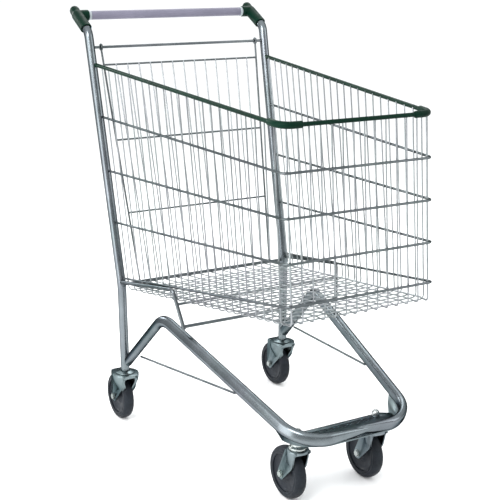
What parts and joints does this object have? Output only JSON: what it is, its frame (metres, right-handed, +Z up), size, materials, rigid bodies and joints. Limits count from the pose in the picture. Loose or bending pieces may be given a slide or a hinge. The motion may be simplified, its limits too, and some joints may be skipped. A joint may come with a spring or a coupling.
{
  "type": "nesting shopping trolley",
  "caption": "Nesting supermarket trolley: tapered wire basket with a swinging rear gate, bent tube frame, push handle and swivel casters.",
  "frame": {"origin": "on the ground, below the centre of the trolley's bounding box", "axes": "+Z up, front of the trolley at -Y, the person pushing stands at +Y, +X to the trolley's left side"},
  "size_m": [0.542, 0.9266, 1.0435],
  "materials": {
    "zinc_tube": "bright zinc-plated steel tube with a faint blue-green tint",
    "zinc_rod": "bright zinc-plated steel rod",
    "zinc_wire": "bright zinc-plated welded wire",
    "pressed_zinc": "zinc-plated pressed sheet steel",
    "fastener": "zinc-plated bolt and nut",
    "green_plastic": "dark green moulded plastic, satin gloss",
    "grip_plastic": "lavender-grey moulded grip, satin",
    "pale_plastic": "pale grey plastic end ring",
    "wheel_hub": "dark grey moulded wheel centre",
    "tyre": "charcoal-grey rubber tread"
  },
  "bodies": {
    "frame": {"upright_left": "zinc_tube", "upright_right": "zinc_tube", "chassis_tube": "zinc_tube", "support_rail_left": "zinc_rod", "support_rail_right": "zinc_rod", "tie_rod_left": "zinc_rod", "tie_rod_right": "zinc_rod", "lower_cross_rod": "zinc_rod", "floor_cross_rod": "zinc_rod", "rear_floor_rod": "zinc_rod", "gate_hinge_rod": "zinc_rod", "rim_wire": "zinc_rod", "basket_side_left": "zinc_wire", "basket_side_right": "zinc_wire", "basket_front": "zinc_wire", "basket_floor": "zinc_wire", "rim_sleeve_left": "green_plastic", "rim_sleeve_right": "green_plastic", "rim_sleeve_front": "green_plastic", "rim_corner_left": "green_plastic", "rim_corner_right": "green_plastic", "handle_bracket_left": "green_plastic", "handle_bracket_right": "green_plastic", "handle_tube": "zinc_tube", "handle_grip": "grip_plastic", "grip_ring_left": "pale_plastic", "grip_ring_right": "pale_plastic", "front_caster_plate": "pressed_zinc", "kingpin_nut_left": "fastener", "kingpin_nut_right": "fastener", "caster_head_rear_left": "pressed_zinc", "caster_head_rear_right": "pressed_zinc", "caster_head_front_left": "pressed_zinc", "caster_head_front_right": "pressed_zinc"},
    "gate": {"rear_gate": "zinc_wire"},
    "swivel_rear_left": {"fork_rear_left": "pressed_zinc", "axle_bolt_rear_left": "fastener"},
    "swivel_rear_right": {"fork_rear_right": "pressed_zinc", "axle_bolt_rear_right": "fastener"},
    "swivel_front_left": {"fork_front_left": "pressed_zinc", "axle_bolt_front_left": "fastener"},
    "swivel_front_right": {"fork_front_right": "pressed_zinc", "axle_bolt_front_right": "fastener"},
    "wheel_rear_left": {"wheel_hub_rear_left": "wheel_hub", "tyre_rear_left": "tyre"},
    "wheel_rear_right": {"wheel_hub_rear_right": "wheel_hub", "tyre_rear_right": "tyre"},
    "wheel_front_left": {"wheel_hub_front_left": "wheel_hub", "tyre_front_left": "tyre"},
    "wheel_front_right": {"wheel_hub_front_right": "wheel_hub", "tyre_front_right": "tyre"}
  },
  "joints": [
    {"name": "gate_swing", "type": "hinge", "parent": "frame", "child": "gate", "pos_m": [0, 0.35951, 0.946], "axis": [-1, 0, 0], "range_deg": [0, 75]},
    {"name": "swivel_turn_rear_left", "type": "hinge", "parent": "frame", "child": "swivel_rear_left", "pos_m": [0.237, 0.2358, 0.134], "axis": [0, 0, 1], "continuous": true},
    {"name": "swivel_turn_rear_right", "type": "hinge", "parent": "frame", "child": "swivel_rear_right", "pos_m": [-0.237, 0.2358, 0.134], "axis": [0, 0, 1], "continuous": true},
    {"name": "swivel_turn_front_left", "type": "hinge", "parent": "frame", "child": "swivel_front_left", "pos_m": [0.104, -0.3692, 0.13], "axis": [0, 0, 1], "continuous": true},
    {"name": "swivel_turn_front_right", "type": "hinge", "parent": "frame", "child": "swivel_front_right", "pos_m": [-0.104, -0.3692, 0.13], "axis": [0, 0, 1], "continuous": true},
    {"name": "wheel_spin_rear_left", "type": "hinge", "parent": "swivel_rear_left", "child": "wheel_rear_left", "pos_m": [0.237, 0.2708, 0.06], "axis": [1, 0, 0], "continuous": true},
    {"name": "wheel_spin_rear_right", "type": "hinge", "parent": "swivel_rear_right", "child": "wheel_rear_right", "pos_m": [-0.237, 0.2708, 0.06], "axis": [1, 0, 0], "continuous": true},
    {"name": "wheel_spin_front_left", "type": "hinge", "parent": "swivel_front_left", "child": "wheel_front_left", "pos_m": [0.104, -0.3312, 0.06], "axis": [1, 0, 0], "continuous": true},
    {"name": "wheel_spin_front_right", "type": "hinge", "parent": "swivel_front_right", "child": "wheel_front_right", "pos_m": [-0.104, -0.3312, 0.06], "axis": [1, 0, 0], "continuous": true}
  ]
}
